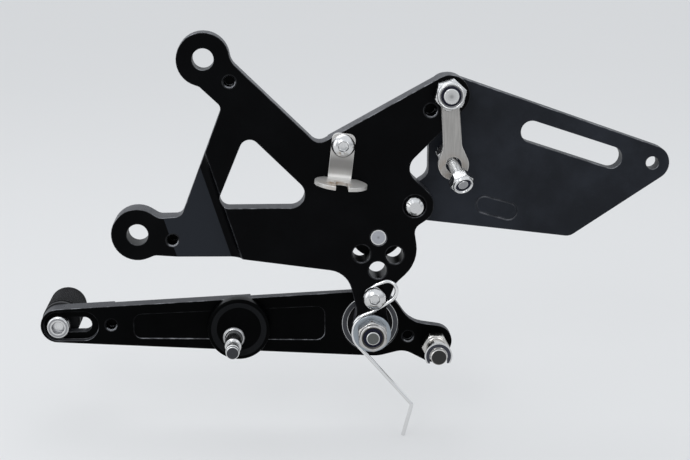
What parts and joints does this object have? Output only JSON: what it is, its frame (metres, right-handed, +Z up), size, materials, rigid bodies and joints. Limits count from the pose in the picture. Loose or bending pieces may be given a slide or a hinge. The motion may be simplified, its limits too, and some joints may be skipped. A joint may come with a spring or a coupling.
{
  "type": "rear sets footrest",
  "caption": "Brake-side motorcycle rear set: milled base plate with foot peg, heel guard, sprung brake lever with sliding toe peg, reservoir stay and switch bracket.",
  "frame": {"origin": "axis of the upper frame bolt at the inner face of the base plate", "axes": "+X to the rear of the motorcycle, +Y outward from the frame, +Z up"},
  "size_m": [0.3034, 0.1206, 0.1956],
  "materials": {
    "plate_black": "black anodised, satin",
    "guard_black": "black anodised, bead blasted",
    "grip_black": "black anodised, turned and knurled",
    "stainless": "turned stainless steel",
    "link_steel": "brushed sheet steel",
    "nylon_navy": "nylon",
    "seal_grey": "moulded seal"
  },
  "bodies": {
    "base": {"main_plate": "plate_black", "heel_guard": "guard_black", "foot_peg": "grip_black", "peg_bolt": "stainless", "guard_bolt": "stainless", "stay_bolt": "stainless", "stay_nut": "stainless", "stay_nut_ring": "nylon_navy", "stay_link": "link_steel", "link_bolt": "stainless", "link_nut": "stainless", "link_nut_ring": "nylon_navy", "switch_bracket": "link_steel", "switch_screw": "stainless", "spring_screw": "stainless", "return_spring": "stainless", "spring_bush": "stainless", "pivot_bolt": "stainless", "pivot_sleeve": "stainless", "pivot_washer": "stainless", "pivot_nut": "stainless", "pivot_nut_ring": "nylon_navy", "bearing_inner": "stainless"},
    "lever": {"brake_lever": "plate_black", "bearing_outer": "stainless", "bearing_balls": "stainless", "bearing_shield": "seal_grey", "post_collar": "grip_black", "spring_post": "stainless", "tail_stud": "stainless", "retaining_clip": "stainless"},
    "toe": {"toe_peg": "grip_black", "toe_peg_bolt": "stainless"}
  },
  "joints": [
    {"name": "lever_pivot", "type": "hinge", "parent": "base", "child": "lever", "pos_m": [0.078, 0.015, -0.1306], "axis": [0, -1, 0], "range_deg": [0, 18], "stiffness_Nm_per_rad": 1.2, "springref_deg": -20.05},
    {"name": "toe_peg_slide", "type": "slide", "parent": "lever", "child": "toe", "axis": [1, 0, 0], "range_m": [0, 0.0118]}
  ]
}
